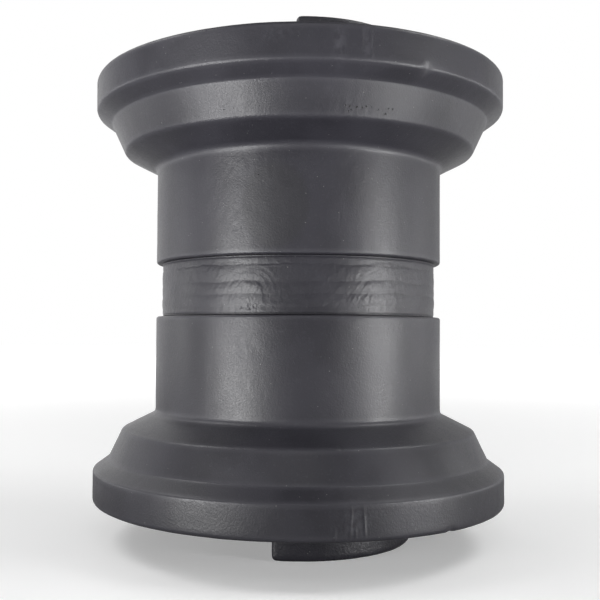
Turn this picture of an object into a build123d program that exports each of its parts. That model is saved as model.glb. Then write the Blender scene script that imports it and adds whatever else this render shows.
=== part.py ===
from build123d import *
import os

# Double-flange track roller, in millimetres. The roller's axis is Z and the origin is on it, at
# the middle of the roller. The upper half is modelled at positive heights; the lower half is its
# mirror image.

# ---------------------------------------------------------------- driving dimensions
# Shell, outside
flange_radius = 100.0
shell_half_length = 101.4
rim_width = 15.0
bevel_radius = 92.6
bevel_height = 81.1
shoulder_radius = 86.2
shoulder_height = 67.4
tread_radius = 70.3
tread_outer_height = 59.5
rim_round = 2.0
shoulder_round = 2.5
tread_fillet = 3.0

# Weld that joins the two halves
weld_radius = 67.25
weld_half_width = 12.95
weld_root_radius = 48.0
weld_root_half_gap = 3.0
groove_edge_round = 0.8

# Shell, inside
oil_cavity_radius = 36.0
oil_cavity_half_length = 25.0
seal_pocket_height = 72.0
seal_pocket_radius = 42.0
seal_lip_height = 79.5
skirt_bore_radius = 48.5
end_bore_height = 89.5
end_bore_radius = 57.0
end_bore_chamfer = 1.0

# Shaft
shaft_radius = 22.5
spigot_radius = 20.0
spigot_end_height = 98.0
shaft_chamfer = 1.5
gallery_radius = 3.0
cross_drill_radius = 3.0

# Bushing
bushing_radius = 27.5
bushing_flange_radius = 34.0
bushing_flange_thickness = 4.0
oil_groove_radius = 1.5
oil_groove_count = 3

# Floating seal
seal_face_height = 80.0
seal_face_gap = 0.1
seal_ring_inner_radius = 31.0
seal_ring_outer_radius = 40.5
seal_ring_tail_radius = 35.5
seal_ring_face_thickness = 2.0
seal_ring_length = 7.0
toric_section_radius = 2.9
toric_to_face = 5.1

# Collar
collar_radius = 55.9
collar_end_height = 120.4
collar_flange_height = 90.5
pad_base_height = 102.4
pad_flat_offset = 10.75
pad_edge_round = 2.0
collar_skirt_radius = 47.5
collar_skirt_height = 80.5
seal_seat_floor_height = 88.0
nose_radius = 28.0
nose_gap = 0.3
socket_end_gap = 0.3
upper_collar_turn = 10.5

# Holes tapped in each collar's flat for the track frame's bolts (M12, tapping size)
mounting_hole_radius = 5.1
mounting_hole_depth = 30.0
mounting_hole_spacing = 72.0

# O-ring between shaft and collar
o_ring_section_radius = 1.5
o_ring_height = 91.0
o_ring_groove_width = 4.0
o_ring_groove_radius = 16.9

# Central bolt that holds each collar (M10 socket head) and its sealing washer
bolt_radius = 5.0
bolt_hole_clearance = 0.05
bolt_reach = 22.0
bolt_head_radius = 8.0
bolt_head_length = 10.0
bolt_head_round = 0.8
bolt_socket_across_flats = 8.0
bolt_socket_depth = 5.0
counterbore_radius = 8.6
counterbore_depth = 14.0
collar_bolt_hole_radius = 5.5
washer_radius = 7.9
washer_hole_radius = 5.2
washer_thickness = 1.5

# Fits
running_clearance = 0.05

# ---------------------------------------------------------------- dimensions worked out from those
rim_inner_height = shell_half_length - rim_width
bushing_inner_radius = shaft_radius + running_clearance
bushing_flange_seat = seal_pocket_height - bushing_flange_thickness
shaft_shoulder_height = seal_pocket_height
socket_radius = spigot_radius + running_clearance
socket_end_height = spigot_end_height + socket_end_gap
nose_height = seal_pocket_height + nose_gap
pad_thickness = collar_end_height - pad_base_height
mounting_hole_height = (pad_base_height + collar_end_height) / 2
counterbore_floor = collar_end_height - counterbore_depth
bolt_head_seat = counterbore_floor + washer_thickness
bolt_head_top = bolt_head_seat + bolt_head_length
bolt_tip_height = spigot_end_height - bolt_reach
tapped_hole_radius = bolt_radius + bolt_hole_clearance
toric_centre_radius = (seal_ring_tail_radius + seal_pocket_radius) / 2

os.makedirs("parts", exist_ok=True)


def turned(outline, rounds=()):
    """Revolve an outline of (radius, height) corners about the roller's axis.

    rounds lists (corner, fillet radius) pairs for corners of the outline.
    """
    with BuildSketch(Plane.XZ) as section:
        with BuildLine():
            Polyline(*outline, close=True)
        make_face()
        for corner, fillet_radius in rounds:
            fillet(section.vertices().sort_by_distance(corner)[0], fillet_radius)
    revolve(section.sketch, axis=Axis.Z)


def save(piece, name):
    """Label a finished piece and write it as its own STEP file."""
    piece.part.label = name
    export_step(piece.part, f"parts/{name}.step")


def save_pair(piece, name):
    """Write a piece of the upper end, and its mirror image for the lower end."""
    save(piece, f"{name}_upper")
    with BuildPart() as twin:
        mirror(piece.part, about=Plane.XY)
    save(twin, f"{name}_lower")


# ---------------------------------------------------------------- roller shell, one half
rim_outer = (flange_radius, shell_half_length)
rim_inner = (flange_radius, rim_inner_height)
bevel_foot = (bevel_radius, bevel_height)
shoulder = (shoulder_radius, shoulder_height)
tread_outer = (tread_radius, tread_outer_height)
tread_inner = (tread_radius, weld_half_width)

with BuildPart() as shell:
    turned(
        [
            (oil_cavity_radius, 0),
            (weld_root_radius, 0),
            (weld_root_radius, weld_root_half_gap),
            (weld_radius, weld_half_width),
            tread_inner,
            tread_outer,
            shoulder,
            bevel_foot,
            rim_inner,
            rim_outer,
            (end_bore_radius + end_bore_chamfer, shell_half_length),
            (end_bore_radius, shell_half_length - end_bore_chamfer),
            (end_bore_radius, end_bore_height),
            (skirt_bore_radius, end_bore_height),
            (skirt_bore_radius, seal_lip_height),
            (seal_pocket_radius, seal_lip_height),
            (seal_pocket_radius, seal_pocket_height),
            (bushing_flange_radius, seal_pocket_height),
            (bushing_flange_radius, bushing_flange_seat),
            (bushing_radius, bushing_flange_seat),
            (bushing_radius, oil_cavity_half_length),
            (oil_cavity_radius, oil_cavity_half_length),
        ],
        rounds=[
            (tread_inner, groove_edge_round),
            (tread_outer, tread_fillet),
            (shoulder, shoulder_round),
            (bevel_foot, rim_round),
            (rim_inner, rim_round),
            (rim_outer, rim_round),
        ],
    )
save_pair(shell, "shell")

# ---------------------------------------------------------------- weld band
with BuildPart() as weld_band:
    turned(
        [
            (weld_root_radius, -weld_root_half_gap),
            (weld_radius, -weld_half_width),
            (weld_radius, weld_half_width),
            (weld_root_radius, weld_root_half_gap),
        ]
    )
save(weld_band, "weld_band")

# ---------------------------------------------------------------- flanged bushing
with BuildPart() as bushing:
    turned(
        [
            (bushing_inner_radius, oil_cavity_half_length),
            (bushing_radius, oil_cavity_half_length),
            (bushing_radius, bushing_flange_seat),
            (bushing_flange_radius, bushing_flange_seat),
            (bushing_flange_radius, seal_pocket_height),
            (bushing_inner_radius, seal_pocket_height),
        ]
    )
    with BuildSketch(Plane.XY.offset(oil_cavity_half_length)):
        with PolarLocations(bushing_inner_radius, oil_groove_count):
            Circle(oil_groove_radius)
    extrude(amount=seal_pocket_height - oil_cavity_half_length, mode=Mode.SUBTRACT)
save_pair(bushing, "bushing")


# ---------------------------------------------------------------- floating seal
def seal_ring(outward):
    """Metal seal ring whose lapped face is at the seal line.

    outward is 1 for the ring on the collar's side of the seal line and -1 for the shell's.
    """
    face = seal_face_height + outward * seal_face_gap / 2
    flange_back = face + outward * seal_ring_face_thickness
    tail_end = face + outward * seal_ring_length
    turned(
        [
            (seal_ring_inner_radius, face),
            (seal_ring_outer_radius, face),
            (seal_ring_outer_radius, flange_back),
            (seal_ring_tail_radius, flange_back),
            (seal_ring_tail_radius, tail_end),
            (seal_ring_inner_radius, tail_end),
        ]
    )


with BuildPart() as rotating_seal_ring:
    seal_ring(outward=-1)
save_pair(rotating_seal_ring, "rotating_seal_ring")

with BuildPart() as stationary_seal_ring:
    seal_ring(outward=1)
save_pair(stationary_seal_ring, "stationary_seal_ring")

with BuildPart() as rotating_seal_toric:
    with Locations((0, 0, seal_face_height - toric_to_face)):
        Torus(toric_centre_radius, toric_section_radius)
save_pair(rotating_seal_toric, "rotating_seal_toric")

with BuildPart() as stationary_seal_toric:
    with Locations((0, 0, seal_face_height + toric_to_face)):
        Torus(toric_centre_radius, toric_section_radius)
save_pair(stationary_seal_toric, "stationary_seal_toric")

# ---------------------------------------------------------------- shaft
o_ring_groove_low = o_ring_height - o_ring_groove_width / 2
o_ring_groove_high = o_ring_height + o_ring_groove_width / 2

with BuildPart() as shaft:
    turned(
        [
            (0, 0),
            (shaft_radius, 0),
            (shaft_radius, shaft_shoulder_height - shaft_chamfer),
            (shaft_radius - shaft_chamfer, shaft_shoulder_height),
            (spigot_radius, shaft_shoulder_height),
            (spigot_radius, o_ring_groove_low),
            (o_ring_groove_radius, o_ring_groove_low),
            (o_ring_groove_radius, o_ring_groove_high),
            (spigot_radius, o_ring_groove_high),
            (spigot_radius, spigot_end_height - shaft_chamfer),
            (spigot_radius - shaft_chamfer, spigot_end_height),
            (0, spigot_end_height),
        ]
    )
    with Locations(Plane.XY.offset(spigot_end_height)):
        CounterBoreHole(
            radius=gallery_radius,
            counter_bore_radius=tapped_hole_radius,
            counter_bore_depth=bolt_reach,
            depth=spigot_end_height,
        )
    mirror(about=Plane.XY)
    with Locations(Plane.YZ):
        Hole(cross_drill_radius, depth=shaft_radius)
save(shaft, "shaft")

# ---------------------------------------------------------------- O-ring in the shaft's groove
with BuildPart() as shaft_o_ring:
    with Locations((0, 0, o_ring_height)):
        Torus(o_ring_groove_radius + o_ring_section_radius + running_clearance, o_ring_section_radius)
save_pair(shaft_o_ring, "shaft_o_ring")

# ---------------------------------------------------------------- end collar
with BuildPart() as collar:
    turned(
        [
            (socket_radius, nose_height),
            (nose_radius, nose_height),
            (nose_radius, seal_seat_floor_height),
            (seal_pocket_radius, seal_seat_floor_height),
            (seal_pocket_radius, collar_skirt_height),
            (collar_skirt_radius, collar_skirt_height),
            (collar_skirt_radius, collar_flange_height),
            (collar_radius, collar_flange_height),
            (collar_radius, pad_base_height),
            (0, pad_base_height),
            (0, socket_end_height),
            (socket_radius, socket_end_height),
        ]
    )
    with BuildSketch(Plane.XY.offset(pad_base_height)):
        Circle(collar_radius)
        with Locations((-pad_flat_offset, 0)):
            Rectangle(collar_radius, 2 * collar_radius, align=(Align.MAX, Align.CENTER), mode=Mode.SUBTRACT)
    extrude(amount=pad_thickness)
    fillet(collar.faces().sort_by(Axis.Z)[-1].edges(), pad_edge_round)
    with Locations(Plane.XY.offset(collar_end_height)):
        CounterBoreHole(
            radius=collar_bolt_hole_radius,
            counter_bore_radius=counterbore_radius,
            counter_bore_depth=counterbore_depth,
            depth=collar_end_height - socket_end_height,
        )
    pad_flat = Plane(origin=(-pad_flat_offset, 0, mounting_hole_height), x_dir=(0, 1, 0), z_dir=(-1, 0, 0))
    with Locations(pad_flat):
        with GridLocations(mounting_hole_spacing, 0, 2, 1):
            Hole(mounting_hole_radius, depth=mounting_hole_depth)

with BuildPart() as collar_upper:
    add(collar.part, rotation=(0, 0, upper_collar_turn))
save(collar_upper, "collar_upper")

with BuildPart() as collar_lower:
    mirror(collar.part, about=Plane.XY)
save(collar_lower, "collar_lower")

# ---------------------------------------------------------------- bolt and sealing washer
with BuildPart() as collar_bolt:
    turned(
        [
            (0, bolt_tip_height),
            (bolt_radius, bolt_tip_height),
            (bolt_radius, bolt_head_seat),
            (bolt_head_radius, bolt_head_seat),
            (bolt_head_radius, bolt_head_top),
            (0, bolt_head_top),
        ],
        rounds=[
            ((bolt_radius, bolt_tip_height), bolt_head_round),
            ((bolt_head_radius, bolt_head_top), bolt_head_round),
        ],
    )
    with BuildSketch(Plane.XY.offset(bolt_head_top)):
        RegularPolygon(bolt_socket_across_flats / 2, 6, major_radius=False)
    extrude(amount=-bolt_socket_depth, mode=Mode.SUBTRACT)
save_pair(collar_bolt, "collar_bolt")

with BuildPart() as seal_washer:
    turned(
        [
            (washer_hole_radius, counterbore_floor),
            (washer_radius, counterbore_floor),
            (washer_radius, bolt_head_seat),
            (washer_hole_radius, bolt_head_seat),
        ]
    )
save_pair(seal_washer, "seal_washer")
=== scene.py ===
"""Track roller stood on end: painted steel shell with a weld band, end collars and what they hold.

Lengths are in metres, in the part's own frame: Z is the roller's axis and the origin is its middle.
Angles round the roller are measured from -Y, positive towards +X.
"""

import math

import bpy
import numpy as np
from mathutils import Matrix, Vector


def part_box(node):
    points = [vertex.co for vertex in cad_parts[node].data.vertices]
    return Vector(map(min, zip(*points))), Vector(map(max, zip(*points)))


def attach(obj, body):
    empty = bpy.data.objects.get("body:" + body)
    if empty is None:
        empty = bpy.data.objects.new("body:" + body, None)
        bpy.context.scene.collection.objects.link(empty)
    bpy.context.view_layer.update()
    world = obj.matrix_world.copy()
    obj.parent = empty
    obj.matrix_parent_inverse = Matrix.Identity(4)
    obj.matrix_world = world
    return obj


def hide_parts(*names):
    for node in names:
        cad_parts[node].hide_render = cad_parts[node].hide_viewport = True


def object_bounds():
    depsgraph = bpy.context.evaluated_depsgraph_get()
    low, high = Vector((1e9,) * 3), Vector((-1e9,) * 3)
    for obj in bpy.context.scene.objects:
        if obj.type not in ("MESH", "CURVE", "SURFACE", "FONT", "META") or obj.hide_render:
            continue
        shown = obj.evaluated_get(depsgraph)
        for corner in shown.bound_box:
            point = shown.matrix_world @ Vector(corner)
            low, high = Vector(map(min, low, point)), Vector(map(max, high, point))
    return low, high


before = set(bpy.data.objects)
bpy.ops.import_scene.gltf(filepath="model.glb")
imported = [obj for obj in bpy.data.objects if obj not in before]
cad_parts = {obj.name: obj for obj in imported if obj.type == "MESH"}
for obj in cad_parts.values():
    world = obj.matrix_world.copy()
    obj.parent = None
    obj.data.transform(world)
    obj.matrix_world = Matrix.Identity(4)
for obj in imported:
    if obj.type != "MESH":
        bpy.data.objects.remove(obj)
cad_low, cad_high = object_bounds()

MM = 0.001

# ---------------------------------------------------------------- sizes taken from the frame
shell_low, shell_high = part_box("shell_upper")
band_low, band_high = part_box("weld_band")
FLANGE_RADIUS = shell_high.x
SHELL_END = shell_high.z
WELD_RADIUS = (band_high.x - band_low.x) / 2
WELD_HALF_WIDTH = band_high.z
FLOOR = cad_low.z

# ---------------------------------------------------------------- shell outline, as in the CAD part
# pairs are (radius, height above the middle)
RIM_INNER = 86.4 * MM
BEVEL = (92.6 * MM, 81.1 * MM)
SHOULDER = (86.2 * MM, 67.4 * MM)
TREAD_RADIUS = 70.3 * MM
TREAD_OUTER = 59.5 * MM
WELD_ROOT_RADIUS = 48.0 * MM
WELD_ROOT_GAP = 3.0 * MM
OIL_CAVITY_RADIUS = 36.0 * MM
OIL_CAVITY_END = 25.0 * MM
BUSHING_RADIUS = 27.5 * MM
BUSHING_FLANGE = (34.0 * MM, 68.0 * MM)
SEAL_POCKET = (42.0 * MM, 72.0 * MM)
SEAL_LIP = (48.5 * MM, 79.5 * MM)
END_BORE = (57.0 * MM, 89.5 * MM)
END_BORE_CHAMFER = 1.0 * MM

# roundings of the corners that show, from the middle outwards
TREAD_INNER_ROUNDING = 1.1 * MM
TREAD_OUTER_ROUNDING = 3.0 * MM
SHOULDER_ROUNDING = 2.5 * MM
BEVEL_ROUNDING = 2.0 * MM
RIM_INNER_ROUNDING = 1.5 * MM
RIM_OUTER_ROUNDING = 2.0 * MM
BORE_ROUNDING = 0.3 * MM

# ---------------------------------------------------------------- mesh density
# angular steps are in degrees, and RUN_ZONE is the part with the paint runs in front
SHELL_STEP = 0.66
RUN_STEP = 0.16
RUN_ZONE = (5.0, 18.5)
OUTSIDE_STEP = 1.5 * MM
INSIDE_STEP = 14.0 * MM
ARC_STEPS = 5
BAND_STEP = 0.277
BAND_STEPS = 64
BAND_ROOT_STEP = 6.0 * MM


# ================================================================ helpers: outlines and meshes
def rounded_outline(corners):
    """Points along a closed outline of (radius, height, rounding, step) corners.

    rounding is the corner's fillet radius, and step the spacing of points on the run after it.
    The second result is 1 at the points of a corner and 0 along a run.
    """
    count = len(corners)
    ends = []
    for i, (r, z, rounding, step) in enumerate(corners):
        here = np.array((r, z))
        before = np.array(corners[i - 1][:2]) - here
        after = np.array(corners[(i + 1) % count][:2]) - here
        before_dir = before / np.linalg.norm(before)
        after_dir = after / np.linalg.norm(after)
        if rounding <= 0:
            ends.append(([here], step))
            continue
        half = math.acos(np.clip(before_dir @ after_dir, -1, 1)) / 2
        reach = rounding / math.tan(half)
        bisector = (before_dir + after_dir) / np.linalg.norm(before_dir + after_dir)
        centre = here + bisector * rounding / math.sin(half)
        start = here + before_dir * reach - centre
        end = here + after_dir * reach - centre
        turn = (math.pi - 2 * half) * np.sign(start[0] * end[1] - start[1] * end[0])
        arc = []
        for k in range(ARC_STEPS + 1):
            cos, sin = math.cos(turn * k / ARC_STEPS), math.sin(turn * k / ARC_STEPS)
            arc.append(centre + np.array((start[0] * cos - start[1] * sin, start[0] * sin + start[1] * cos)))
        ends.append((arc, step))
    points, edge = [], []
    for i, (arc, step) in enumerate(ends):
        points.extend(arc)
        edge.extend([1.0] * len(arc))
        run = ends[(i + 1) % count][0][0] - arc[-1]
        steps = max(1, int(round(np.linalg.norm(run) / step)))
        for k in range(1, steps):
            points.append(arc[-1] + run * k / steps)
            edge.append(0.0)
    return np.array(points), np.array(edge)


def outward(points):
    """Unit normals of a closed outline given in anticlockwise order, in the radius-height plane."""
    along = np.roll(points, -1, 0) - np.roll(points, 1, 0)
    along /= np.linalg.norm(along, axis=1)[:, None]
    return np.stack([along[:, 1], -along[:, 0]], 1)


def spaced_angles(step, fine_step=None, fine_from=0.0, fine_to=0.0):
    """Angles once round in radians, with a closer spacing between two angles (all given in degrees)."""
    angles = [-180.0]
    while angles[-1] < 180.0:
        fine = fine_step and fine_from <= angles[-1] < fine_to
        angles.append(angles[-1] + (fine_step if fine else step))
    return np.radians(angles[:-1])


def revolved(name, points, angles, displace, shades=None):
    """A closed outline turned about the roller's axis as one closed quad mesh.

    displace(angle, radius, height, normal) gives how far each point stands out along its normal;
    shades(angle, height) gives a dict of per-point attributes that the material reads.
    """
    rows = len(points)
    segments = len(angles)
    grid_angle, radius = np.meshgrid(angles, points[:, 0], indexing="ij")
    height = np.broadcast_to(points[:, 1], radius.shape)
    normal = outward(points)
    values = shades(grid_angle, height) if shades else {}
    out = displace(grid_angle, radius, height, normal)
    radius = radius + out * normal[:, 0]
    height = height + out * normal[:, 1]
    x = radius * np.sin(grid_angle)
    y = -radius * np.cos(grid_angle)
    verts = np.stack([x, y, height], 2).reshape(-1, 3)
    i = np.arange(segments)[:, None]
    j = np.arange(rows)[None, :]
    a = i * rows + j
    b = ((i + 1) % segments) * rows + j
    c = ((i + 1) % segments) * rows + (j + 1) % rows
    d = i * rows + (j + 1) % rows
    faces = np.stack([a, b, c, d], 2).reshape(-1, 4)
    mesh = bpy.data.meshes.new(name)
    mesh.vertices.add(len(verts))
    mesh.vertices.foreach_set("co", verts.ravel())
    mesh.loops.add(faces.size)
    mesh.loops.foreach_set("vertex_index", faces.ravel())
    mesh.polygons.add(len(faces))
    mesh.polygons.foreach_set("loop_start", np.arange(len(faces)) * 4)
    mesh.polygons.foreach_set("use_smooth", np.ones(len(faces), bool))
    mesh.update(calc_edges=True)
    for key, value in values.items():
        full = np.broadcast_to(value, radius.shape).astype(np.float32)
        layer = mesh.attributes.new(key, "FLOAT", "POINT")
        layer.data.foreach_set("value", full.ravel())
    piece = bpy.data.objects.new(name, mesh)
    bpy.context.scene.collection.objects.link(piece)
    return piece


def waves(x, y, z, wavelength, seed, count=26):
    """Smooth irregular pattern of about unit height made of plane waves near one wavelength."""
    random = np.random.RandomState(seed)
    total = np.zeros(np.broadcast(x, y, z).shape)
    for _ in range(count):
        direction = random.normal(size=3)
        direction /= np.linalg.norm(direction)
        k = direction * 2 * math.pi / (wavelength * random.uniform(0.7, 1.6))
        total += np.sin(k[0] * x + k[1] * y + k[2] * z + random.uniform(0, 2 * math.pi))
    return total / math.sqrt(count / 2)


def angle_between(a, b):
    """Signed difference of two angles, from -pi to pi."""
    return (a - b + math.pi) % (2 * math.pi) - math.pi


def bell(distance, width):
    """1 in the middle, falling off smoothly on both sides."""
    return np.exp(-0.5 * (distance / width) ** 2)


def smooth_step(value, low, high):
    """0 up to low, 1 from high on, and an S curve between."""
    t = np.clip((value - low) / (high - low), 0, 1)
    return t * t * (3 - 2 * t)


# ================================================================ helpers: materials
class Nodes:
    """Short calls for building one material's node tree."""

    def __init__(self, name):
        self.material = bpy.data.materials.new(name)
        self.material.use_nodes = True
        self.tree = self.material.node_tree
        self.shader = self.tree.nodes["Principled BSDF"]
        self.place = self.add("ShaderNodeTexCoord").outputs["Object"]

    def add(self, kind, **settings):
        node = self.tree.nodes.new(kind)
        for key, value in settings.items():
            setattr(node, key, value)
        return node

    def link(self, value, socket):
        """Join an output to a socket, or set the socket to a plain value."""
        if isinstance(value, bpy.types.NodeSocket):
            self.tree.links.new(value, socket)
        else:
            socket.default_value = value

    def noise(self, size, detail=3.0, roughness=0.5, place=None):
        """Noise whose blotches are about size metres across."""
        node = self.add("ShaderNodeTexNoise")
        self.link(place or self.place, node.inputs["Vector"])
        node.inputs["Scale"].default_value = 1 / size
        node.inputs["Detail"].default_value = detail
        node.inputs["Roughness"].default_value = roughness
        return node.outputs["Fac"]

    def cells(self, size):
        """Distance to the nearest of scattered points about size metres apart, as a part of size."""
        node = self.add("ShaderNodeTexVoronoi")
        self.link(self.place, node.inputs["Vector"])
        node.inputs["Scale"].default_value = 1 / size
        return node.outputs["Distance"]

    def stretched(self, x, y, z):
        """Object coordinates scaled along each axis, for marks that run one way."""
        node = self.add("ShaderNodeMapping")
        self.link(self.place, node.inputs["Vector"])
        node.inputs["Scale"].default_value = (x, y, z)
        return node.outputs["Vector"]

    def ramp(self, value, low, high, to_low=0.0, to_high=1.0):
        """An S curve from to_low, where value is low, to to_high, where it is high."""
        node = self.add("ShaderNodeMapRange", interpolation_type="SMOOTHSTEP")
        self.link(value, node.inputs["Value"])
        self.link(low, node.inputs["From Min"])
        self.link(high, node.inputs["From Max"])
        self.link(to_low, node.inputs["To Min"])
        self.link(to_high, node.inputs["To Max"])
        return node.outputs["Result"]

    def math(self, operation, a, b=0.0):
        node = self.add("ShaderNodeMath", operation=operation)
        self.link(a, node.inputs[0])
        self.link(b, node.inputs[1])
        return node.outputs[0]

    def mix(self, factor, a, b):
        node = self.add("ShaderNodeMix", data_type="RGBA")
        self.link(factor, node.inputs["Factor"])
        self.link(a, node.inputs["A"])
        self.link(b, node.inputs["B"])
        return node.outputs["Result"]

    def attribute(self, name):
        return self.add("ShaderNodeAttribute", attribute_name=name).outputs["Fac"]

    def bump(self, height, distance, strength=1.0, normal=None):
        node = self.add("ShaderNodeBump")
        self.link(height, node.inputs["Height"])
        node.inputs["Distance"].default_value = distance
        self.link(strength, node.inputs["Strength"])
        if normal is not None:
            self.link(normal, node.inputs["Normal"])
        return node.outputs["Normal"]

    def set(self, **sockets):
        """Link or set the shader's own sockets, with _ for the spaces in their names."""
        for key, value in sockets.items():
            self.link(value, self.shader.inputs[key.replace("_", " ")])


def grey(level, blue=0.0):
    """A colour of that linear brightness, with its blue raised by that part and its red by less."""
    return (level * (1 + 0.13 * blue), level, level * (1 + blue), 1)


# paint: brightness of its tones, of the painted edge highlight, peel sheen and pit shade, and the size of its
# marks
PAINT_DARK, PAINT_LIGHT = 0.0155, 0.0220
EDGE_PAINTED_HIGHLIGHT, PEEL_PAINTED_SHEEN, SMEAR, STAIN = 0.044, 0.040, 0.046, 0.013
PIT_PAINTED_SHADE, DUST = 0.004, 0.34
BLOTCH_SIZE, PATCH_SIZE = 30 * MM, 22 * MM
SCALE_SIZE, PEEL_SIZE, GRAIN_SIZE = 5.0 * MM, 1.2 * MM, 0.7 * MM
DUST_SPACING, PIT_SPACING = 2.7 * MM, 1.8 * MM
PIT_DEPTH_BUMP = 0.22 * MM


def painted_steel(name, coarse=0.0):
    """Satin dark grey paint over steel. coarse, 0 to 1, is how rough the metal under it is.

    Reads the mesh attributes edge (rounded corners, lightened as a painted highlight), pitted (pits darkened
    as painted shade), smear (dragged paint) and stain.
    """
    n = Nodes(name)
    blotch = n.noise(BLOTCH_SIZE, 3)
    grain = n.noise(GRAIN_SIZE, 2)
    peel = n.noise(PEEL_SIZE, 2)
    scale = n.noise(SCALE_SIZE, 5, 0.62)
    dusty = n.math("GREATER_THAN", n.noise(4 * MM, 0), 0.58)
    speck = n.math("MULTIPLY", n.math("LESS_THAN", n.cells(DUST_SPACING), 0.070), dusty)
    pitted = n.math("GREATER_THAN", n.math("ADD", n.noise(3 * MM, 2), n.attribute("pitted")), 0.94)
    pit = n.math("MULTIPLY", n.ramp(n.cells(PIT_SPACING), 0.17, 0.31, 1.0, 0.0), pitted)
    smear = n.math("MULTIPLY", n.attribute("smear"), n.ramp(n.noise(2.5 * MM, 3), 0.35, 0.65))
    stain = n.attribute("stain")

    colour = n.mix(n.ramp(blotch, 0.35, 0.68), grey(PAINT_DARK, 0.32), grey(PAINT_LIGHT, 0.30))
    # rounded corners lightened: a painted highlight along the edges
    colour = n.mix(n.math("MULTIPLY", n.attribute("edge"), 0.35), colour, grey(EDGE_PAINTED_HIGHLIGHT, 0.2))
    # paint lighter on the crests of the orange peel: a painted sheen
    colour = n.mix(n.ramp(peel, 0.56, 0.74, 0.0, 0.30), colour, grey(PEEL_PAINTED_SHEEN, 0.2))
    colour = n.mix(smear, colour, grey(SMEAR, 0.2))
    colour = n.mix(stain, colour, grey(STAIN, 0.2))
    # pits darkened to near black: painted shade inside the pits
    colour = n.mix(n.math("MULTIPLY", pit, 0.85), colour, grey(PIT_PAINTED_SHADE))
    colour = n.mix(n.math("MULTIPLY", speck, 0.36), colour, grey(DUST, -0.05))

    rough = n.ramp(blotch, 0.3, 0.7, 0.40, 0.46)
    rough = n.math("ADD", rough, n.ramp(grain, 0.3, 0.7, -0.04, 0.04))
    rough = n.math("ADD", rough, n.math("MULTIPLY", stain, 0.08))
    rough = n.math("ADD", rough, n.math("MULTIPLY", pit, 0.30))

    patchy = n.ramp(n.noise(PATCH_SIZE, 2), 0.45, 0.7, 0.12 + coarse, 0.6 + coarse)
    normal = n.bump(scale, (0.025 + 0.05 * coarse) * MM, patchy)
    normal = n.bump(peel, (0.045 + 0.10 * coarse) * MM, 0.8, normal)
    normal = n.bump(grain, (0.070 + 0.05 * coarse) * MM, 0.9, normal)
    normal = n.bump(n.math("SUBTRACT", 1.0, pit), PIT_DEPTH_BUMP, 1.0, normal)

    n.set(Base_Color=colour, Roughness=rough, Normal=normal)
    n.shader.inputs["IOR"].default_value = 1.5
    return n.material


def bare_metal(name, colour, rough, ring=False):
    """Machined metal with fine marks: ring is for tool marks that run round the axis."""
    n = Nodes(name)
    marks = n.noise(0.8 * MM, 4, 0.6, n.stretched(0.15, 0.15, 3.0) if ring else None)
    blotch = n.noise(12 * MM, 3)
    dark = [0.72 * c for c in colour]
    n.set(
        Base_Color=n.mix(n.ramp(blotch, 0.35, 0.7), (*dark, 1), (*colour, 1)),
        Roughness=n.ramp(marks, 0.3, 0.7, rough - 0.08, rough + 0.10),
        Normal=n.bump(marks, 0.02 * MM, 0.7),
    )
    n.shader.inputs["Metallic"].default_value = 1.0
    return n.material


def black_oxide(name):
    """Blackened bolt steel, blotchy from oil."""
    n = Nodes(name)
    blotch = n.noise(4 * MM, 4)
    grain = n.noise(0.4 * MM, 2)
    n.set(
        Base_Color=n.mix(n.ramp(blotch, 0.4, 0.7), grey(0.020), grey(0.055, 0.04)),
        Roughness=n.ramp(blotch, 0.3, 0.7, 0.34, 0.50),
        Normal=n.bump(grain, 0.012 * MM, 0.8),
    )
    n.shader.inputs["Metallic"].default_value = 0.65
    return n.material


def nitrile(name):
    """Matt black rubber."""
    n = Nodes(name)
    blotch = n.noise(6 * MM, 3)
    n.set(
        Base_Color=n.mix(n.ramp(blotch, 0.35, 0.7), grey(0.012), grey(0.024)),
        Roughness=n.ramp(n.noise(1.2 * MM, 3), 0.3, 0.7, 0.50, 0.66),
        Normal=n.bump(n.noise(0.6 * MM, 3), 0.02 * MM, 0.6),
    )
    return n.material


# ================================================================ shell halves
def shell_corners():
    """Corners of one shell half's section, anticlockwise, as (radius, height, rounding, step)."""
    fine, coarse = OUTSIDE_STEP, INSIDE_STEP
    return [
        (OIL_CAVITY_RADIUS, 0.0, 0, coarse),
        (WELD_ROOT_RADIUS, 0.0, 0, coarse),
        (WELD_ROOT_RADIUS, WELD_ROOT_GAP, 0, coarse),
        (WELD_RADIUS, WELD_HALF_WIDTH, 0, fine),
        (TREAD_RADIUS, WELD_HALF_WIDTH, TREAD_INNER_ROUNDING, fine),
        (TREAD_RADIUS, TREAD_OUTER, TREAD_OUTER_ROUNDING, fine),
        (*SHOULDER, SHOULDER_ROUNDING, fine),
        (*BEVEL, BEVEL_ROUNDING, fine),
        (FLANGE_RADIUS, RIM_INNER, RIM_INNER_ROUNDING, fine),
        (FLANGE_RADIUS, SHELL_END, RIM_OUTER_ROUNDING, 3 * fine),
        (END_BORE[0] + END_BORE_CHAMFER, SHELL_END, BORE_ROUNDING, fine),
        (END_BORE[0], SHELL_END - END_BORE_CHAMFER, BORE_ROUNDING, 2 * fine),
        (*END_BORE, BORE_ROUNDING, coarse),
        (SEAL_LIP[0], END_BORE[1], BORE_ROUNDING, coarse),
        (*SEAL_LIP, 0, coarse),
        (SEAL_POCKET[0], SEAL_LIP[1], 0, coarse),
        (*SEAL_POCKET, 0, coarse),
        (BUSHING_FLANGE[0], SEAL_POCKET[1], 0, coarse),
        (*BUSHING_FLANGE, 0, coarse),
        (BUSHING_RADIUS, BUSHING_FLANGE[1], 0, coarse),
        (BUSHING_RADIUS, OIL_CAVITY_END, 0, coarse),
        (OIL_CAVITY_RADIUS, OIL_CAVITY_END, 0, coarse),
    ]


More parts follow.
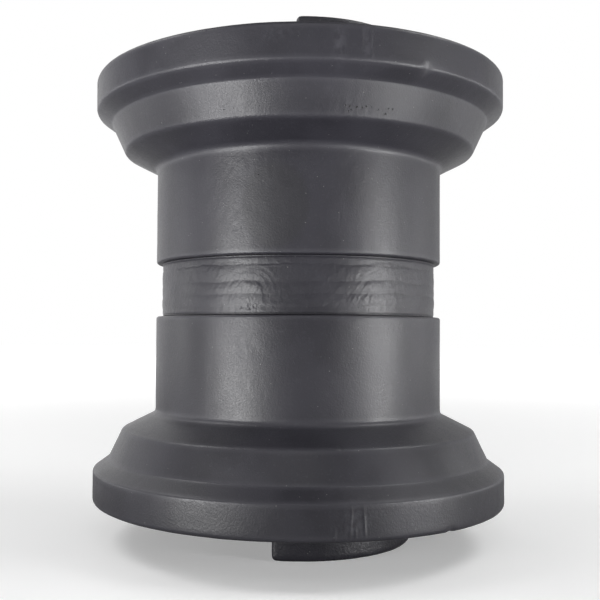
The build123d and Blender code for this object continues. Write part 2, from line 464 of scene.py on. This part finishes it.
def paint_run(angle, radius, height, run, low, high):
    """A run of paint down a rim: a soft ridge along the axis with a thicker drop at its lower end.

    run is (angle in degrees, half width, height, height of the drop, part of the rim it covers),
    with its lengths in millimetres.
    """
    at, width, tall, bead, cover = run
    top = low + (high - low) * cover
    across = angle_between(angle, math.radians(at)) * radius
    slow_wobble = 0.30 * MM * np.sin(height / (3.4 * MM) + at)
    quick_wobble = 0.12 * MM * np.sin(height / (0.9 * MM) + 3 * at)
    across = across + slow_wobble + quick_wobble
    along = smooth_step(height, low, low + 2 * MM) * (1 - smooth_step(height, top - 3 * MM, top))
    thick = 0.75 + 0.25 * np.sin(height / (1.7 * MM) + 5 * at)
    ridge = tall * MM * thick * bell(across, width * MM) * along
    drop = bead * MM * bell(across, 1.3 * width * MM) * bell(height - low - 1.8 * MM, 1.1 * MM)
    return ridge + drop


def dents(angle, radius, height, spots):
    """Small craters: each spot is (angle in degrees, height, radius, depth), and a bump has depth < 0."""
    total = np.zeros(np.broadcast(angle, radius, height).shape)
    for at, level, size, depth in spots:
        across = angle_between(angle, math.radians(at)) * radius
        near = np.hypot(across, height - level) / size
        total -= depth * np.exp(-near**2.5)
    return total


def scattered(seed, count, centre, spread, level, level_spread, sizes, depths):
    """Random spots for dents(), thickest round the angle centre and the height level."""
    random = np.random.RandomState(seed)
    spots = []
    for _ in range(count):
        spots.append((
            random.normal(centre, spread),
            random.normal(level, level_spread),
            random.uniform(*sizes),
            random.uniform(*depths),
        ))
    return spots


PIT_SIZE = (0.5 * MM, 1.0 * MM)
PIT_DEPTH = (0.04 * MM, 0.14 * MM)


def pit_patches(patches):
    """Pits of each patch: (seed, how many, angle, its spread, height in mm, its spread in mm)."""
    spots = []
    for seed, count, centre, spread, level, level_spread in patches:
        spots += scattered(seed, count, centre, spread, level * MM, level_spread * MM, PIT_SIZE, PIT_DEPTH)
    return spots


# pits, paint runs and nicks of each half; those past 90 degrees are on the back, which the photo hides
UPPER_PITS = pit_patches((
    (11, 12, -19, 2, 71.3, 0.8), (12, 26, 15, 8, 70.6, 0.7), (13, 26, -20, 6, 48, 4),
    (14, 18, -21, 5, 30, 3), (15, 60, 0, 110, 71.5, 1.5), (16, 60, 150, 60, 40, 12),
))
LOWER_PITS = pit_patches((
    (21, 14, -18, 5, -27, 2), (22, 14, -16, 3, -44, 2), (23, 50, 160, 70, -38, 12), (24, 40, 170, 90, -72, 2),
))
UPPER_RUNS = (
    (7.9, 0.45, 0.08, 0.0, 0.9), (9.2, 0.60, 0.10, 0.12, 1.0), (10.4, 0.35, 0.08, 0.10, 0.8),
    (14.3, 0.30, 0.12, 0.0, 1.0), (15.4, 0.30, 0.05, 0.0, 0.5), (16.6, 0.38, 0.13, 0.10, 0.9),
    (-41.0, 0.6, 0.05, 0.0, 1.0), (128.0, 0.8, 0.14, 0.12, 1.0), (131.5, 0.6, 0.10, 0.0, 0.7),
    (-118.0, 0.7, 0.12, 0.10, 1.0),
)
LOWER_RUNS = (
    (8.3, 0.35, 0.16, 0.26, 0.35), (10.9, 0.28, 0.06, 0.0, 0.9), (12.1, 0.36, 0.22, 0.0, 1.0),
    (13.2, 0.28, 0.10, 0.12, 0.6), (15.3, 0.36, 0.22, 0.0, 1.0), (96.0, 0.7, 0.15, 0.15, 1.0),
    (-150.0, 0.7, 0.16, 0.18, 1.0), (-147.0, 0.6, 0.12, 0.0, 0.8),
)
UPPER_NICKS = [
    (-72.0, 96.5 * MM, 1.1 * MM, 0.40 * MM),
    (31.6, RIM_INNER + 0.3 * MM, 1.7 * MM, 0.75 * MM),
    (30.6, RIM_INNER + 1.6 * MM, 1.0 * MM, -0.22 * MM),
]
LOWER_NICKS = [(39.2, -SHELL_END + 0.4 * MM, 1.6 * MM, 0.45 * MM)]


def shell_relief(side):
    """How far the shell's outside stands off its turned shape: side is 1 for the upper half."""
    spots = UPPER_PITS + UPPER_NICKS if side > 0 else LOWER_PITS + LOWER_NICKS
    runs = UPPER_RUNS if side > 0 else LOWER_RUNS
    rim_low, rim_high = sorted((side * RIM_INNER, side * SHELL_END))

    def relief(angle, radius, height, normal):
        x = radius * np.sin(angle)
        y = -radius * np.cos(angle)
        outside = (normal[:, 0] > -0.2) & (radius[0] > WELD_RADIUS)
        on_rim = (normal[:, 0] > 0.9) & (radius > FLANGE_RADIUS - 1 * MM)
        out = 0.030 * MM * waves(x, y, height, 28 * MM, 31 + side)
        out += 0.012 * MM * waves(x, y, height, 7 * MM, 41 + side)
        out += dents(angle, radius, height, spots)
        for run in runs:
            out += on_rim * paint_run(angle, radius, height, run, rim_low + 1 * MM, rim_high - 1 * MM)
        return out * outside

    return relief


# soft spots of paint: (strength, angle, height in mm, spread in degrees, spread in mm)
UPPER_SHADES = {
    "pitted": (
        (0.80, 18, 70.3, 9, 1.5), (0.50, -19, 71.5, 2.5, 1.2), (0.28, -20, 46, 8, 8), (0.26, -22, 30, 6, 4),
        (0.42, 150, 60, 40, 12),
    ),
    "smear": (
        (0.8, 9.2, 93, 1.0, 6), (0.6, 15.6, 93, 0.9, 6), (0.5, -5, 97, 2.4, 2.0), (0.7, -118, 93, 3, 5),
    ),
    "stain": ((0.5, 19.5, 38, 0.9, 0.9),),
}
LOWER_SHADES = {
    "pitted": ((0.30, -19, -27, 5, 3), (0.28, -16, -44, 3, 2.5), (0.42, 160, -50, 50, 14)),
    "smear": ((0.6, 13, -93, 2.6, 6), (0.9, -66, -90, 4, 3), (0.6, -148, -93, 3, 5)),
    "stain": ((0.4, -63, -85.5, 3, 1.5), (0.3, -20, -93, 8, 4)),
}
OVAL_STAIN = 0.60
OVAL_CENTRE = (math.radians(-8), 34 * MM)
OVAL_SIZE = (math.radians(13), 20 * MM)


def soft_spots(angle, height, spots):
    """Sum of the spots at each point, with the spots as in the tuples above."""
    total = np.zeros(angle.shape)
    for strength, at, level, spread, tall in spots:
        across = bell(angle_between(angle, math.radians(at)), math.radians(spread))
        total += strength * across * bell(height - level * MM, tall * MM)
    return total


def shell_shades(side, edge):
    """Where one shell half's paint has a painted edge highlight or is pitted, smeared or stained, each from 0
    to 1.
    """
    def shades(angle, height):
        values = {"edge": edge}
        for name, spots in (UPPER_SHADES if side > 0 else LOWER_SHADES).items():
            values[name] = soft_spots(angle, height, spots)
        if side > 0:
            # the upper tread has one oval stain with a clear edge
            across = angle_between(angle, OVAL_CENTRE[0]) / OVAL_SIZE[0]
            off_centre = np.hypot(across, (height - OVAL_CENTRE[1]) / OVAL_SIZE[1])
            values["stain"] += OVAL_STAIN * (1 - smooth_step(off_centre, 0.80, 1.02))
        return values

    return shades


def mirrored(corners):
    """The same outline below the middle, still anticlockwise."""
    steps = [corner[3] for corner in corners]
    # the run after a corner becomes the run before it, so the steps move along by one
    return [(r, -z, rounding, steps[i - 1]) for i, (r, z, rounding, _) in enumerate(corners)][::-1]


paint = painted_steel("shell_paint")
shell_angles = spaced_angles(SHELL_STEP, RUN_STEP, *RUN_ZONE)

for side, end in ((1, "upper"), (-1, "lower")):
    corners = shell_corners() if side > 0 else mirrored(shell_corners())
    outline, edge = rounded_outline(corners)
    # rounded corners on the outside, lightened in the paint as a painted highlight along the edges
    painted_highlight_edges = edge * (outline[:, 0] > TREAD_RADIUS - 2 * MM)
    looks = shell_relief(side), shell_shades(side, painted_highlight_edges)
    shell = revolved(f"roller_shell_{end}", outline, shell_angles, *looks)
    shell.data.materials.append(paint)
    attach(shell, "roller")
    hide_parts(f"shell_{end}")


# ================================================================ weld band
# lengths in these tuples are in millimetres and angles in degrees
BEADS = ((5.3, 3.9), (-0.8, 3.1), (-6.1, 3.0))  # middle and half width of each, the top one first
STOPS = (-13.0, 84.0, 171.0, -104.0)  # where the welder stopped and started again
# where the puddle left streaks: (angle, half width, slope)
FANS = (
    (-24.0, 7.0, 1.2), (27.0, 9.0, 1.0), (60.0, 8.0, -1.1),
    (118.0, 9.0, 1.3), (-150.0, 8.0, 1.0), (-70.0, 8.0, 1.4),
)
BEAD_HEIGHT = 0.22 * MM
TOE_DEPTH = 0.30 * MM
RIPPLE_LENGTH = 3.1 * MM
RIPPLE_HEIGHT = 0.020 * MM
STREAK_HEIGHT = 0.019 * MM
SWIRL_HEIGHT = 0.021 * MM
LIP_LEVEL = 8.95 * MM


def bead_rows(angle, x, y, height):
    """Height of the overlapping beads, and of the curved ripples on whichever bead is on top."""
    level = 0 * height
    along = angle * WELD_RADIUS
    wander = 0.35 * MM * waves(x, y, level, 40 * MM, 51)
    beads = np.zeros(x.shape)
    ripples = np.zeros(x.shape)
    for i, (centre, half) in enumerate(BEADS):
        drift = 0.30 * MM * waves(x, y, level, 22 * MM, 60 + i)
        swell = 1 + 0.22 * waves(x, y, level, 18 * MM, 70 + i)
        across = (height - centre * MM - wander - drift) / (half * MM)
        crown = BEAD_HEIGHT * swell * (1 - across**2)
        lag = 3.4 * MM * across**2 + 0.9 * MM * waves(x, y, height, 9 * MM, 80 + i)
        wave = np.sin(2 * math.pi * (along - lag) / RIPPLE_LENGTH + i * 2.1)
        on_top = crown > beads
        beads = np.where(on_top, crown, beads)
        ripples = np.where(on_top, wave * RIPPLE_HEIGHT * np.clip(1 - across**2, 0, 1), ripples)
    strength = 0.15 + 1.1 * smooth_step(waves(x, y, height, 26 * MM, 90), 0.1, 1.4)
    return beads, ripples * strength


def puddle_streaks(angle, height):
    """Fine streaks left in the metal by the puddle, long one way and about a millimetre wide."""
    streaks = np.zeros(angle.shape)
    for i, (at, reach, slope) in enumerate(FANS):
        local = angle_between(angle, math.radians(at)) * WELD_RADIUS
        window = bell(local, reach * MM) * bell(height + 2 * MM, 5 * MM)
        bent = slope * (1 - 0.5 * height / (9 * MM))
        across = (local * bent - height) / np.hypot(bent, 1)
        down = (local + height * bent) / np.hypot(bent, 1)
        pattern = waves(across / (1.3 * MM), down / (9 * MM), 0 * height, 1.0, 100 + i)
        streaks += STREAK_HEIGHT * window * pattern
    return streaks


def stop_marks(angle, x, y, height):
    """How much of the beads is left past each stop's crater edge, and the swirls in the crater."""
    left = np.ones(x.shape)
    swirls = np.zeros(x.shape)
    for stop in STOPS:
        local = angle_between(angle, math.radians(stop)) * WELD_RADIUS
        edge = local + 0.25 * MM * waves(x, y, height, 5 * MM, 120) - 0.12 * np.clip(-height, 0, None)
        edge = edge + 0.9 * np.clip(height + 1 * MM, 0, None)
        blur = 0.50 * MM + 1.8 * MM * smooth_step(height, -2 * MM, 2 * MM)
        past = smooth_step(edge / blur, -1, 1) * (1 - smooth_step(local, 9 * MM, 22 * MM))
        inside = smooth_step(height, -8.6 * MM, -7 * MM) * (1 - smooth_step(height, 7.0 * MM, 9 * MM))
        left *= 1 - 0.48 * past * inside
        from_centre = np.hypot(local + 5 * MM, height + 3.5 * MM)
        quadrant = smooth_step(local, -4 * MM, 1 * MM) * smooth_step(height, -6 * MM, 0) * inside
        arcs = np.sin(2 * math.pi * from_centre / (2.5 * MM) + 0.7) * bell(from_centre - 10.5 * MM, 2.4 * MM)
        swirls += SWIRL_HEIGHT * arcs * quadrant
    return left, swirls


def lip_line(x, y, height):
    """The ragged line along the upper edge, where the top bead laps over the metal."""
    broken = smooth_step(waves(x, y, 0 * height, 16 * MM, 95), -0.2, 0.7)
    from_lip = height - LIP_LEVEL - 0.22 * MM * waves(x, y, 0 * height, 4.5 * MM, 96)
    cut = 0.13 * MM * bell(from_lip, 0.26 * MM) * (0.25 + 0.75 * broken)
    return 0.05 * MM * bell(from_lip + 0.5 * MM, 0.30 * MM) * broken - cut


PORES = (
    scattered(61, 6, -17.5, 1.5, -9.3 * MM, 0.8 * MM, (0.20 * MM, 0.32 * MM), (0.25 * MM, 0.45 * MM))
    + scattered(62, 3, 27, 3.0, -10.3 * MM, 0.6 * MM, (0.20 * MM, 0.30 * MM), (0.2 * MM, 0.35 * MM))
    + scattered(63, 16, 160, 45.0, -6 * MM, 4.0 * MM, (0.24 * MM, 0.4 * MM), (0.2 * MM, 0.45 * MM))
)


def weld_relief(angle, radius, height, normal):
    """Low overlapping beads with faint ripples, stop craters, a lip line, pores and a sunk toe."""
    x = radius * np.sin(angle)
    y = -radius * np.cos(angle)
    beads, ripples = bead_rows(angle, x, y, height)
    left, swirls = stop_marks(angle, x, y, height)
    out = beads * left + (ripples + puddle_streaks(angle, height)) * left + swirls
    out += lip_line(x, y, height) + dents(angle, radius, height, PORES)
    out += 0.016 * MM * waves(x, y, height, 3.4 * MM, 97) + 0.006 * MM * waves(x, y, height, 1.4 * MM, 98)
    from_edge = WELD_HALF_WIDTH - np.abs(height)
    toe = TOE_DEPTH * bell(np.clip(from_edge - 0.45 * MM, 0, None), 0.40 * MM)
    on_face = radius > WELD_RADIUS - 0.2 * MM
    return (out * smooth_step(from_edge, 0.0, 0.8 * MM) - toe) * on_face


band_corners = (
    (WELD_ROOT_RADIUS, -WELD_ROOT_GAP, 0, BAND_ROOT_STEP),
    (WELD_RADIUS, -WELD_HALF_WIDTH, 0, 2 * WELD_HALF_WIDTH / BAND_STEPS),
    (WELD_RADIUS, WELD_HALF_WIDTH, 0, BAND_ROOT_STEP),
    (WELD_ROOT_RADIUS, WELD_ROOT_GAP, 0, BAND_ROOT_STEP),
)
outline, _ = rounded_outline(band_corners)
band = revolved("weld_beads", outline, spaced_angles(BAND_STEP), weld_relief)
band.data.materials.append(painted_steel("weld_paint", coarse=0.12))
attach(band, "roller")
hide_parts("weld_band")


# ================================================================ end collars
CASTING_VOXEL = 0.8 * MM
CASTING_ROUNDING = 10


def cast_copy(source, name):
    """A copy of a CAD node with rounded edges and an even, fine mesh."""
    piece = source.copy()
    piece.data = source.data.copy()
    piece.name = name
    for key in list(piece.keys()):
        del piece[key]
    piece.parent = None
    bpy.context.scene.collection.objects.link(piece)
    piece.data.materials.clear()
    remesh = piece.modifiers.new("remesh", "REMESH")
    remesh.mode = "VOXEL"
    remesh.voxel_size = CASTING_VOXEL
    remesh.use_smooth_shade = True
    rounding = piece.modifiers.new("rounding", "SMOOTH")
    rounding.factor = 0.5
    rounding.iterations = CASTING_ROUNDING
    bpy.context.view_layer.update()
    solid = bpy.data.meshes.new_from_object(piece.evaluated_get(bpy.context.evaluated_depsgraph_get()))
    piece.modifiers.clear()
    piece.data = solid
    return piece


def roughen(mesh):
    """Move each point a little along its normal, just inside the CAD shape on average."""
    points = np.zeros(len(mesh.vertices) * 3)
    normals = np.zeros(len(mesh.vertices) * 3)
    mesh.vertices.foreach_get("co", points)
    mesh.vertices.foreach_get("normal", normals)
    points, normals = points.reshape(-1, 3), normals.reshape(-1, 3)
    x, y, z = points.T
    out = -0.04 * MM + 0.022 * MM * waves(x, y, z, 9 * MM, 5)
    out += 0.012 * MM * waves(x, y, z, 3.0 * MM, 6)
    mesh.vertices.foreach_set("co", (points + normals * out[:, None]).ravel())
    mesh.update()


collar_paint = painted_steel("collar_paint", coarse=1.0)
for end in ("upper", "lower"):
    casting = cast_copy(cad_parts[f"collar_{end}"], f"end_collar_{end}_casting")
    roughen(casting.data)
    casting.data.materials.append(collar_paint)
    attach(casting, f"end_collar_{end}")
    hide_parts(f"collar_{end}")


# ================================================================ CAD nodes that stay
seal_iron = bare_metal("seal_iron", (0.42, 0.42, 0.43), 0.30, ring=True)
seal_rubber = nitrile("nitrile_rubber")
finishes = {
    "shaft": bare_metal("shaft_ground", (0.60, 0.60, 0.61), 0.26, ring=True),
    "bushing": bare_metal("bushing_bronze", (0.62, 0.40, 0.17), 0.36, ring=True),
    "rotating_seal_ring": seal_iron,
    "stationary_seal_ring": seal_iron,
    "rotating_seal_toric": seal_rubber,
    "stationary_seal_toric": seal_rubber,
    "shaft_o_ring": nitrile("nitrile_o_ring"),
    "collar_bolt": black_oxide("bolt_black_oxide"),
    "seal_washer": bare_metal("washer_zinc", (0.66, 0.66, 0.62), 0.34),
}
for name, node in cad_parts.items():
    base = name.removesuffix("_upper").removesuffix("_lower")
    if base in finishes:
        for slot in node.material_slots:
            slot.material = finishes[base]


# ================================================================ stage, light, camera
FLOOR_HALF_WIDTH = 6.0
FLOOR_DROP = 0.1 * MM
# how bright the sheet is to light that goes back up to the part
FLOOR_BOUNCE = 0.34
# where the sheet's glow starts and ends to grow, by distance from the part's middle
GLOW_NEAR, GLOW_FAR = 0.15, 1.8
GLOW_NEAR_STRENGTH, GLOW_FAR_STRENGTH = 0.24, 0.90


def floor_sheet():
    """A wide pale sheet that glows far from the part, as a lit studio sweep does.

    It throws less light back at the part than the camera sees, as if the part stood on a dark card,
    and it is clear from beneath.
    """
    mesh = bpy.data.meshes.new("floor")
    half, level = FLOOR_HALF_WIDTH, FLOOR - FLOOR_DROP
    corners = [(-half, -half, level), (half, -half, level), (half, half, level), (-half, half, level)]
    mesh.from_pydata(corners, [], [(0, 1, 2, 3)])
    sheet = bpy.data.objects.new("floor", mesh)
    bpy.context.scene.collection.objects.link(sheet)
    n = Nodes("floor_pale")
    away = n.add("ShaderNodeVectorMath", operation="LENGTH")
    n.link(n.place, away.inputs[0])
    seen = n.add("ShaderNodeLightPath").outputs["Is Camera Ray"]
    pale = n.mix(n.noise(0.6, 2), grey(0.84), grey(0.87))
    near_glow = n.math("MULTIPLY", seen, GLOW_NEAR_STRENGTH)
    n.set(
        Base_Color=n.mix(seen, grey(FLOOR_BOUNCE), pale),
        Roughness=n.ramp(n.noise(20 * MM, 2), 0.3, 0.7, 0.75, 0.85),
        Emission_Strength=n.ramp(away.outputs["Value"], GLOW_NEAR, GLOW_FAR, near_glow, GLOW_FAR_STRENGTH),
        Emission_Color=(1, 1, 1, 1),
    )
    clear = n.add("ShaderNodeBsdfTransparent")
    choose = n.add("ShaderNodeMixShader")
    n.link(n.add("ShaderNodeNewGeometry").outputs["Backfacing"], choose.inputs["Fac"])
    n.link(n.shader.outputs["BSDF"], choose.inputs[1])
    n.link(clear.outputs["BSDF"], choose.inputs[2])
    n.link(choose.outputs["Shader"], n.tree.nodes["Material Output"].inputs["Surface"])
    mesh.materials.append(n.material)


floor_sheet()


def area_light(name, width, tall, watts, azimuth, distance, height):
    """A rectangular light at an angle round the roller from -Y, not yet aimed."""
    lamp = bpy.data.lights.new(name, "AREA")
    lamp.shape = "RECTANGLE"
    lamp.size = width
    lamp.size_y = tall
    lamp.energy = watts
    light = bpy.data.objects.new(name, lamp)
    angle = math.radians(azimuth)
    light.location = (distance * math.sin(angle), -distance * math.cos(angle), height)
    light.visible_camera = False
    bpy.context.scene.collection.objects.link(light)
    return light


# (name, width, height, watts, azimuth, distance, height above the middle, height it is aimed at)
SOFTBOXES = (
    ("left_softbox", 0.34, 0.22, 4.9, -46.5, 0.90, 0.0, 0.0),
    ("right_softbox", 0.32, 0.22, 5.1, 64, 0.90, 0.0, 0.0),
    ("left_side", 0.30, 0.30, 0.9, -98, 0.90, 0.05, 0.0),
    ("right_side", 0.30, 0.30, 0.85, 102, 0.90, 0.05, 0.0),
    ("left_high", 0.5, 0.4, 3.3, -88, 0.72, 0.85, 0.0),
    ("right_high", 0.5, 0.4, 3.6, 88, 0.72, 0.85, 0.0),
    ("back_left", 2.6, 2.4, 21.0, -142, 2.6, 1.0, 0.2),
    ("back_right", 2.6, 2.4, 10.5, 142, 2.6, 1.0, 0.2),
    ("front_high", 0.6, 0.4, 1.1, 0, 0.90, 0.75, 0.0),
)
for *settings, aimed_at in SOFTBOXES:
    light = area_light(*settings)
    aim = Vector((0, 0, aimed_at)) - light.location
    light.rotation_euler = aim.to_track_quat("-Z", "Y").to_euler()

# round lights lying face up on the sheet, for light that it throws back up: (name, watts, azimuth)
FLOOR_GLOWS = (("left_floor_glow", 2.2, -42), ("right_floor_glow", 0.9, 50))
FLOOR_GLOW_WIDTH = 0.26
FLOOR_GLOW_DISTANCE = 0.40
FLOOR_GLOW_LIFT = 1.4 * MM
for name, watts, azimuth in FLOOR_GLOWS:
    size = FLOOR_GLOW_WIDTH, FLOOR_GLOW_WIDTH
    light = area_light(name, *size, watts, azimuth, FLOOR_GLOW_DISTANCE, FLOOR + FLOOR_GLOW_LIFT)
    light.data.shape = "DISK"
    light.rotation_euler = (math.pi, 0, 0)

SKY_LIGHT = 0.12


def studio_world():
    """A white surround that lights the part only a little."""
    world = bpy.data.worlds.new("studio")
    world.use_nodes = True
    nodes, links = world.node_tree.nodes, world.node_tree.links
    nodes["Background"].inputs["Color"].default_value = (1, 1, 1, 1)
    path = nodes.new("ShaderNodeLightPath")
    strength = nodes.new("ShaderNodeMapRange")
    strength.inputs["To Min"].default_value = SKY_LIGHT
    strength.inputs["To Max"].default_value = 1.0
    links.new(path.outputs["Is Camera Ray"], strength.inputs["Value"])
    links.new(strength.outputs["Result"], nodes["Background"].inputs["Strength"])
    bpy.context.scene.world = world


studio_world()
bpy.context.scene.view_settings.view_transform = "Standard"

CAMERA_DISTANCE = 427.5 * MM
CAMERA_HEIGHT = -20.8 * MM
PITCH, YAW, ROLL = math.radians(1.80), math.radians(-2.18), math.radians(0.34)
SENSOR_WIDTH = 36.0
LENS = 50.93
SHIFT = (0.0583, 0.0108)


def photo_camera():
    """The camera at the photograph's viewing angle, low in front of the roller."""
    lens = bpy.data.cameras.new("camera")
    lens.sensor_width = SENSOR_WIDTH
    lens.lens = LENS
    lens.shift_x, lens.shift_y = SHIFT
    camera = bpy.data.objects.new("camera", lens)
    bpy.context.scene.collection.objects.link(camera)
    bpy.context.scene.camera = camera
    forward = Vector((math.sin(YAW) * math.cos(PITCH), math.cos(YAW) * math.cos(PITCH), math.sin(PITCH)))
    level_right = Vector((math.cos(YAW), -math.sin(YAW), 0))
    level_up = level_right.cross(forward)
    right = math.cos(ROLL) * level_right + math.sin(ROLL) * level_up
    up = -math.sin(ROLL) * level_right + math.cos(ROLL) * level_up
    turn = Matrix((right, up, -forward)).transposed().to_4x4()
    camera.matrix_world = Matrix.Translation((0, -CAMERA_DISTANCE, CAMERA_HEIGHT)) @ turn


photo_camera()
